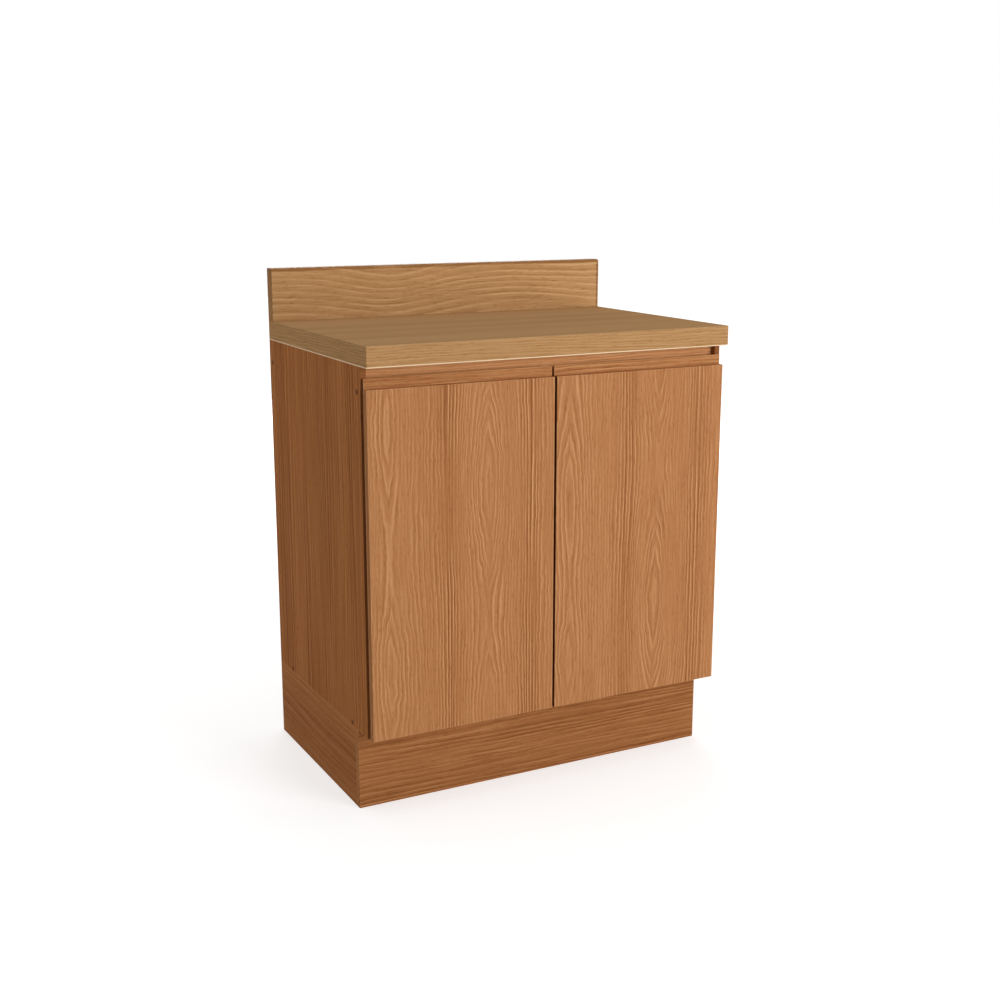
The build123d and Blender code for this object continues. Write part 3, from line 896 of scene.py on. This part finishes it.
@dataclass(frozen=True)
class Palette:
    """The finishes of the cabinet."""

    door: WoodDecor = WoodDecor(
        pale=(0.64, 0.33, 0.15), mid=(0.44, 0.187, 0.071), deep=(0.25, 0.085, 0.026), fold=0.205,
        ease=0.4, wander=0.018, tremble=8.0 * MM, line_share=0.52, shade_share=0.38, rest=0.3,
        streak_share=0.15, fibre_share=0.5, tone_share=0.15,
    )
    body: WoodDecor = WoodDecor(
        pale=(0.55, 0.225, 0.072), mid=(0.387, 0.134, 0.033), deep=(0.23, 0.069, 0.015),
        pitch=12.0 * MM, wander=0.04, shake=4.0 * MM, tremble=4.0 * MM, line_share=0.42,
        fibre_share=1.1, fibre_run=5.0, tone_share=0.55, uneven=4.0,
    )
    level: WoodDecor = WoodDecor(
        pale=(0.62, 0.32, 0.14), mid=(0.425, 0.182, 0.067), deep=(0.25, 0.084, 0.025),
        tone_share=0.08,
    )
    # Paler copy of the print on the front rail: painted light that makes up for the shade under the
    # worktop's overhang.
    rail: WoodDecor = WoodDecor(
        pale=(0.7, 0.375, 0.178), mid=(0.53, 0.243, 0.098), deep=(0.36, 0.135, 0.045),
    )
    plinth_side: WoodDecor = WoodDecor(
        pale=(0.54, 0.235, 0.085), mid=(0.385, 0.143, 0.042), deep=(0.23, 0.072, 0.017),
        pitch=16.0 * MM, tremble=3.0 * MM, line_share=0.16, shade_share=0.16, streak_share=0.1,
        fibre_share=0.8, fibre_run=5.0, tone_share=0.4, uneven=4.0,
    )
    # Darker copy of the print on the plinth's front and rear: painted shade for the shade under the doors
    # and the carcass.
    plinth: WoodDecor = WoodDecor(
        pale=(0.52, 0.24, 0.098), mid=(0.345, 0.136, 0.046), deep=(0.19, 0.062, 0.017),
        pitch=10.0 * MM, tremble=3.0 * MM, line_share=0.4, shade_share=0.36, streak_share=0.15,
        uneven=3.5,
    )
    # The worktop edging's print, its colour partly lowered as painted shade that offsets the stronger
    # light on the exposed edge.
    worktop: WoodDecor = WoodDecor(
        pale=(0.53, 0.302, 0.134), mid=(0.375, 0.192, 0.072), deep=(0.21, 0.091, 0.028),
        pitch=6.0 * MM, shake=12.0 * MM, line_share=0.28, shade_share=0.18, rest=0.75,
        streak_share=0.0, tone_share=0.1,
    )
    # Paler than the worktop's print as painted light for the dimmer light at the back; its negative edge
    # value and turned-face value add painted shade along its top and right end and on faces turned from
    # the front.
    upstand: WoodDecor = WoodDecor(
        pale=(0.7, 0.432, 0.213), mid=(0.5, 0.274, 0.116), deep=(0.28, 0.125, 0.041),
        pitch=16.0 * MM, wander_scale=(6.0, 2.0), line_share=0.3, shade_share=0.17, rest=0.65,
        streak_share=0.0, fibre_share=0.6, tone_share=0.1, edge_wear_and_shade=-0.7, edge_wear_and_shade_reach=8.0 * MM,
        turn_painted_shade=0.35, uneven=1.5,
    )
    laminate: WoodDecor = WoodDecor(
        pale=(0.505, 0.308, 0.154), mid=(0.435, 0.25, 0.112), deep=(0.35, 0.192, 0.078),
        pitch=9.0 * MM, line_share=0.25, shade_share=0.25, fibre_share=0.4, tone_share=0.4,
        pore_share=0.12, gloss=0.0,
    )
    # Dark print on the side panels' front bands: painted shade for the shade behind the doors.
    side_edge_painted_shade: WoodDecor = WoodDecor(
        pale=(0.41, 0.165, 0.058), mid=(0.275, 0.103, 0.032), deep=(0.15, 0.053, 0.015),
        line_share=0.2, shade_share=0.2,
    )
    # Darker print on the doors' meeting edges: painted shade for the shade in the gap between the doors.
    meeting_edge_painted_shade: WoodDecor = WoodDecor(
        pale=(0.3, 0.105, 0.024), mid=(0.2, 0.066, 0.012), deep=(0.11, 0.034, 0.006),
        line_share=0.2, shade_share=0.2,
    )
    chips: Chipboard = Chipboard()
    paper: Paper = Paper()
    sheet: Hardboard = Hardboard()
    beech: Beech = Beech()
    nickel: Metal = Metal((0.78, 0.76, 0.73), (0.62, 0.6, 0.57), 0.3)
    zinc: Metal = Metal((0.62, 0.58, 0.5), (0.44, 0.41, 0.36), 0.34)
    # Dark brown steel: partly the screws' own dark finish, partly painted shade of their sunk holes.
    dark_steel_and_shade: Metal = Metal((0.085, 0.036, 0.012), (0.05, 0.02, 0.007), 0.6)
    rubber: Rubber = Rubber()


# Waves in the upstand's figure
WAVES: tuple[Flame, ...] = (Flame(0.055, 0.27, 0.2, 0.12, 0.03), Flame(0.055, 0.62, 0.2, 0.16, -0.012))

# The doors' figure: where a plank folds, how strongly it shows, where its lines stand out, its arches
HEARTS: dict[Side, float] = {Side.LEFT: 0.248, Side.RIGHT: 0.235}
STRENGTHS: dict[Side, float] = {Side.LEFT: 1.05, Side.RIGHT: 0.93}
BUNDLES: tuple[float, ...] = (0.165, 0.339)
FLAMES: dict[Side, tuple[Flame, ...]] = {
    Side.LEFT: (
        Flame(0.248, 0.48, 0.055, 0.24, 0.046), Flame(0.244, 0.02, 0.055, 0.16, 0.034),
        Flame(0.043, 0.62, 0.05, 0.22, -0.028), Flame(0.048, 0.12, 0.05, 0.2, -0.03),
    ),
    Side.RIGHT: (
        Flame(0.235, 0.2, 0.055, 0.22, 0.048), Flame(0.237, 0.72, 0.055, 0.18, 0.038),
        Flame(0.03, 0.42, 0.05, 0.2, -0.028), Flame(0.035, 0.08, 0.05, 0.16, -0.028),
    ),
}


def dress(node: str, material: Material) -> None:
    """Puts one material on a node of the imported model.

    Args:
        node: The node's name.
        material: The material.
    """
    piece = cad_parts[node]
    if not piece.material_slots:
        piece.data.materials.append(material)
    for place in piece.material_slots:
        place.material = material
    log.info("dressed %s", node)


class Bench:
    """Steps of modelling by hand, on one mesh at a time."""

    @staticmethod
    def clear() -> None:
        """Leaves nothing selected, in object mode."""
        if bpy.context.object and bpy.context.object.mode != "OBJECT":
            bpy.ops.object.mode_set(mode="OBJECT")
        bpy.ops.object.select_all(action="DESELECT")

    @classmethod
    def block(cls, name: str, low: Vector, high: Vector) -> Piece:
        """Adds a block between two corners, its place in its mesh.

        Args:
            name: The new object's name.
            low: Its lowest corner.
            high: Its highest corner.

        Returns:
            The object, selected.
        """
        cls.clear()
        bpy.ops.mesh.primitive_cube_add(size=1.0, location=(low + high) / 2, scale=high - low)
        bpy.ops.object.transform_apply(location=True, rotation=True, scale=True)
        piece = bpy.context.object
        piece.name = name
        piece.data.name = name
        return piece

    @staticmethod
    def pick_edges(piece: Piece, wanted: Callable[[Vector, Vector], bool]) -> None:
        """Selects edges in edit mode.

        Args:
            piece: The object, in edit mode.
            wanted: A test on an edge's two ends.
        """
        bpy.ops.mesh.select_mode(type="EDGE")
        bpy.ops.mesh.select_all(action="DESELECT")
        mesh = bmesh.from_edit_mesh(piece.data)
        for edge in mesh.edges:
            edge.select_set(wanted(*(corner.co for corner in edge.verts)))
        bmesh.update_edit_mesh(piece.data)


@dataclass
class EdgeBand:
    """A thin band glued on a board's edge, its two outer arrises rounded.

    Attributes:
        name: The piece's name.
        low: Lowest corner.
        high: Highest corner.
        out: The way in which the edge looks.
        body: The body that it rides on.
        rounding: Radius of the arrises, in metres.
        steps: Faces in one rounding.
        smooth_angle: Angle up to which faces are shaded as one, in degrees.
        reach: How close to the outer face its arrises lie, in metres.
    """

    name: str
    low: Vector
    high: Vector
    out: Vector
    body: str
    rounding: float = 0.2 * MM
    steps: int = 3
    smooth_angle: float = 40.0
    reach: float = 0.01 * MM

    def build(self) -> Piece:
        """Models the band.

        Returns:
            The band.
        """
        piece = Bench.block(self.name, self.low, self.high)
        face = max(self.low.dot(self.out), self.high.dot(self.out))
        bpy.ops.object.mode_set(mode="EDIT")
        Bench.pick_edges(piece, lambda a, b: min(a.dot(self.out), b.dot(self.out)) > face - self.reach)
        bpy.ops.mesh.bevel(offset=self.rounding, segments=self.steps, affect="EDGES")
        bpy.ops.object.mode_set(mode="OBJECT")
        bpy.ops.object.shade_smooth_by_angle(angle=math.radians(self.smooth_angle))
        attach(piece, self.body)
        log.info("built %s", self.name)
        return piece


@dataclass
class Carcass:
    """The box of the cabinet: sides, bottom, back, rails and shelf."""

    finishes: Palette
    band: float = 0.5 * MM
    screw_inset: float = 80.0 * MM

    def screws(self, side: Side) -> tuple[Triple, ...]:
        """The middles of the screw heads on one side panel.

        Args:
            side: The side.

        Returns:
            Their places on the panel's outer face.
        """
        low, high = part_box(f"{side.value}_side_panel")
        face = low[0] if side is Side.LEFT else high[0]
        rails = [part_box(f"{name}_top_rail") for name in ("front", "rear")]
        places = [((a[1] + b[1]) / 2, (a[2] + b[2]) / 2) for a, b in rails]
        base = sum(corner[2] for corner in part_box("bottom_panel")) / 2
        places += [(low[1] + self.screw_inset, base), (high[1] - self.screw_inset, base)]
        return tuple((face, *place) for place in places)

    def boards(self) -> list[Board]:
        """Lists the boards with decor.

        Returns:
            The boards and the way that each was cut.
        """
        # Each side panel gets painted shade round its screw heads.
        sides = [
            Board(f"{side.value}_side_panel", Grain.UPRIGHT, cut, (BEHIND, BELOW), screw_shade_places=self.screws(side))
            for side, cut in ((Side.LEFT, (3.1, 5.7, 1.2)), (Side.RIGHT, (8.3, 2.9, 6.4)))
        ]
        return sides + [
            Board("bottom_panel", Grain.LEVEL, (4.4, 1.8, 7.5), (BEHIND,)),
            Board("front_top_rail", Grain.LEVEL, (1.9, 6.6, 3.3), (BELOW,)),
            Board("rear_top_rail", Grain.LEVEL, (7.2, 3.4, 9.1), (BELOW,)),
            Board("shelf", Grain.LEVEL, (2.6, 8.8, 4.9), (BEHIND,)),
        ]

    def build(self) -> None:
        """Models and dresses the bands on the front edges of the sides, the bottom and the shelf."""
        ahead = Vector((0.0, -1.0, 0.0))
        for node in ("left_side_panel", "right_side_panel", "bottom_panel", "shelf"):
            low, high = (Vector(corner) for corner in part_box(node))
            high.y = low.y
            low.y -= self.band
            band = EdgeBand(f"{node}_band", low, high, ahead, "cabinet").build()
            upright = node.endswith("side_panel")
            grain = Grain.UPRIGHT if upright else Grain.LEVEL
            # The side panels' front bands take the dark print of painted shade.
            decor = self.finishes.side_edge_painted_shade if upright else self.finishes.body
            decor.cover_band(band, grain)

    def dress(self) -> None:
        """Puts the finishes on the carcass and its fasteners."""
        for board in self.boards():
            # The front rail takes the paler print of painted light.
            decor = self.finishes.rail if board.node == "front_top_rail" else self.finishes.body
            decor.cover(board)
        sheet = Board("back_panel", Grain.UPRIGHT, (5.5, 4.1, 2.2))
        dress(sheet.node, self.finishes.sheet.make(sheet, self.finishes.body))
        # The carcass screws' dark steel is partly painted shade of their sunk holes.
        dress("carcass_screws", self.finishes.dark_steel_and_shade.make("dark_steel_and_shade_screws"))
        zinc = self.finishes.zinc.make("zinc_fasteners")
        for node in ("shelf_pins", "back_nails", "worktop_brackets", "bracket_screws"):
            dress(node, zinc)


@dataclass
class Plinth:
    """The set-back frame under the carcass."""

    finishes: Palette

    def dress(self) -> None:
        """Puts the finishes on the plinth's boards, dowels and screws."""
        for board in (
            Board("plinth_front", Grain.LEVEL, (6.1, 2.3, 8.7), (BELOW,)),
            Board("plinth_rear", Grain.LEVEL, (1.4, 7.7, 3.6), (BELOW,)),
            Board("plinth_left", Grain.DEEP, (3.8, 9.2, 5.1), (BELOW, BEHIND)),
            Board("plinth_right", Grain.DEEP, (8.8, 4.3, 1.7), (BELOW, BEHIND)),
        ):
            # The plinth's front and rear take the darker print of painted shade.
            decor = self.finishes.plinth_side if board.grain is Grain.DEEP else self.finishes.plinth
            decor.cover(board)
        dress("plinth_dowels", self.finishes.beech.make("beech_dowels", Grain.DEEP))
        dress("plinth_screws", self.finishes.dark_steel_and_shade.make("dark_steel_and_shade_plinth_screws"))


@dataclass
class Worktop:
    """The worktop's layers and the upstand behind it."""

    finishes: Palette

    def dress(self) -> None:
        """Puts the finishes on the worktop's layers, the upstand and its screws."""
        dress("worktop_core", self.finishes.chips.make("worktop_chips"))
        dress("worktop_backing", self.finishes.paper.make("worktop_paper"))
        # The edging's print is partly darkened as painted shade.
        self.finishes.worktop.cover(Board("worktop_edging", Grain.AROUND, (2.7, 8.1, 4.4)))
        self.finishes.laminate.cover(Board("worktop_laminate", Grain.LEVEL, (5.2, 1.1, 6.3)))
        # The upstand's top and right end are darkened by painted shade, and its turned faces too.
        rims = ((0.0, 0.0, 1.0), (1.0, 0.0, 0.0))
        upstand = Board("upstand", Grain.LEVEL, (7.9, 3.5, 2.8), (BEHIND,), WAVES, rims=rims)
        self.finishes.upstand.cover(upstand)
        dress("upstand_screws", self.finishes.dark_steel_and_shade.make("dark_steel_and_shade_upstand_screws"))


@dataclass
class Door:
    """One door with its pull strip and edge bands."""

    side: Side
    finishes: Palette
    band: float = 0.25 * MM
    front_arris: float = 1.0 * MM

    @property
    def body(self) -> str:
        """The body that the door rides on."""
        return f"{self.side.value}_leaf"

    @property
    def meeting(self) -> str:
        """The edge that meets the other door."""
        return "right" if self.side is Side.LEFT else "left"

    def build(self) -> None:
        """Models and dresses the bands on the door's upright edges and its lower edge."""
        low, high = (Vector(corner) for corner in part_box(f"{self.side.value}_door"))
        low.y += self.front_arris
        for name, axis, way in (("left", 0, -1), ("right", 0, 1), ("lower", 2, -1)):
            out = Vector((0.0, 0.0, 0.0))
            out[axis] = way
            start, end = low.copy(), high.copy()
            edge = (low if way < 0 else high)[axis]
            start[axis] = min(edge, edge + way * self.band)
            end[axis] = max(edge, edge + way * self.band)
            piece = EdgeBand(f"{self.side.value}_door_{name}_band", start, end, out, self.body).build()
            grain = Grain.LEVEL if axis == 2 else Grain.UPRIGHT
            # The meeting edge takes the dark print of painted shade.
            decor = self.finishes.meeting_edge_painted_shade if name == self.meeting else self.finishes.door
            decor.cover_band(piece, grain)

    def dress(self) -> None:
        """Puts the finishes on the door, its strip and the strip's screws."""
        shift = (1.7, 4.6, 2.4) if self.side is Side.LEFT else (6.9, 3.2, 7.8)
        leaf = Board(
            f"{self.side.value}_door", Grain.UPRIGHT, shift, flames=FLAMES[self.side],
            heart=HEARTS[self.side], bundles=BUNDLES, strength=STRENGTHS[self.side],
        )
        self.finishes.door.cover(leaf)
        self.finishes.level.cover(Board(f"{self.side.value}_pull_strip", Grain.LEVEL, shift))
        zinc = self.finishes.zinc.make(f"{self.side.value}_strip_zinc")
        dress(f"{self.side.value}_strip_screws", zinc)


@dataclass
class Hinges:
    """The four concealed hinges, their pins and their screws."""

    finishes: Palette

    def dress(self) -> None:
        """Puts nickel on the hinges and zinc on their screws."""
        nickel = self.finishes.nickel.make("hinge_nickel")
        for side in Side:
            for level in Level:
                for part in ("plate", "arm", "link", "cup"):
                    dress(f"{side.value}_{level.value}_hinge_{part}", nickel)
            dress(f"{side.value}_cup_pins", nickel)
        dress("hinge_arm_pins", nickel)
        zinc = self.finishes.zinc.make("hinge_zinc")
        for node in ("hinge_plate_screws", "hinge_arm_screws", "left_cup_screws", "right_cup_screws"):
            dress(node, zinc)
        dress("door_bumpers", self.finishes.rubber.make("bumper_rubber"))


@dataclass(frozen=True)
class SoftLight:
    """One square soft light: its name, its place, its power in watts and its side in metres."""

    name: str
    place: Triple
    power: float
    size: float

    def hang(self, aim: Triple) -> None:
        """Hangs the light.

        Args:
            aim: The point that it looks at.
        """
        Bench.clear()
        bpy.ops.object.light_add(type="AREA", location=self.place)
        light = bpy.context.object
        light.name = self.name
        light.data.energy = self.power
        light.data.shape = "SQUARE"
        light.data.size = self.size
        light.rotation_euler = (Vector(aim) - Vector(self.place)).to_track_quat("-Z", "Y").to_euler()


@dataclass
class Studio:
    """A white room with a soft low light at the front right and others at the left, above and behind."""

    floor_size: float = 24.0
    floor_white: float = 0.65
    floor_glow: float = 0.62
    floor_near: float = 0.8
    floor_far: float = 2.2
    ambient: float = 0.22
    lights: tuple[SoftLight, ...] = (
        SoftLight("key_light", (2.7, -5.2, 1.1), 310.0, 3.4),
        SoftLight("fill_light", (-3.6, 1.5, 1.2), 30.0, 2.6),
        SoftLight("roof_light", (0.2, 0.0, 3.6), 40.0, 3.0),
        SoftLight("back_light", (1.6, 4.6, 1.3), 110.0, 3.0),
    )
    aim: Triple = (0.0, 0.0, 0.5)
    camera_place: Triple = (-1.3311, -2.5693, 1.2103)
    camera_turn: float = -27.607
    camera_tilt: float = 12.919
    camera_reach: float = 100.0
    lens: float = 49.827
    sensor: float = 36.0

    @staticmethod
    def seen(tree: ShaderTree) -> Value:
        """Tells the rays to which the room is white.

        Args:
            tree: The tree.

        Returns:
            One for rays from the camera, from gloss and through glass, else none.
        """
        path = tree.add("ShaderNodeLightPath", out="Is Camera Ray")
        outputs = path.socket.node.outputs
        gloss = Value(tree, outputs["Is Glossy Ray"])
        glass = Value(tree, outputs["Is Transmission Ray"])
        return path.most(gloss).most(glass)

    def build_floor(self) -> None:
        """Lays a pale floor that keeps the shadow and is white elsewhere."""
        Bench.clear()
        bpy.ops.mesh.primitive_plane_add(size=self.floor_size)
        floor = bpy.context.object
        floor.name = "studio_floor"
        tree = ShaderTree("studio_floor_white")
        matt = tree.add("ShaderNodeBsdfDiffuse", None, {"Color": (*even(self.floor_white), 1.0)})
        reach = tree.vector("LENGTH", tree.place(), out="Value").rise(self.floor_near, self.floor_far)
        white = self.seen(tree) * (self.floor_glow + reach * (1.0 - self.floor_glow))
        glow = tree.add("ShaderNodeEmission", None, {"Color": white})
        both = tree.add("ShaderNodeAddShader", None, {0: matt, 1: glow})
        tree.add("ShaderNodeOutputMaterial", None, {"Surface": both})
        floor.data.materials.append(tree.owner)

    def build_world(self) -> None:
        """Makes the room white to look at and evenly lit."""
        tree = ShaderTree("studio_room", "worlds")
        bpy.context.scene.world = tree.owner
        strength = self.ambient + self.seen(tree) * (1.0 - self.ambient)
        sockets = {"Color": (1.0, 1.0, 1.0, 1.0), "Strength": strength}
        room = tree.add("ShaderNodeBackground", None, sockets)
        tree.add("ShaderNodeOutputWorld", None, {"Surface": room})

    def build_camera(self) -> None:
        """Sets the camera up at the photograph's viewing angle."""
        Bench.clear()
        turn = (math.radians(90.0 - self.camera_tilt), 0.0, math.radians(self.camera_turn))
        bpy.ops.object.camera_add(location=self.camera_place, rotation=turn)
        camera = bpy.context.object
        camera.name = "studio_camera"
        camera.data.sensor_fit = "HORIZONTAL"
        camera.data.sensor_width = self.sensor
        camera.data.lens = self.lens
        camera.data.clip_end = self.camera_reach
        bpy.context.scene.camera = camera

    def build(self) -> None:
        """Builds the whole studio."""
        bpy.context.scene.view_settings.view_transform = "Standard"
        self.build_floor()
        self.build_world()
        for light in self.lights:
            light.hang(self.aim)
        self.build_camera()


def main() -> None:
    """Builds the studio and the cabinet."""
    logging.basicConfig(level=logging.INFO, format="%(message)s")
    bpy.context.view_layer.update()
    finishes = Palette()
    Studio().build()
    carcass = Carcass(finishes)
    carcass.build()
    carcass.dress()
    Plinth(finishes).dress()
    Worktop(finishes).dress()
    for side in Side:
        door = Door(side, finishes)
        door.build()
        door.dress()
    Hinges(finishes).dress()


if __name__ == "__main__":
    main()
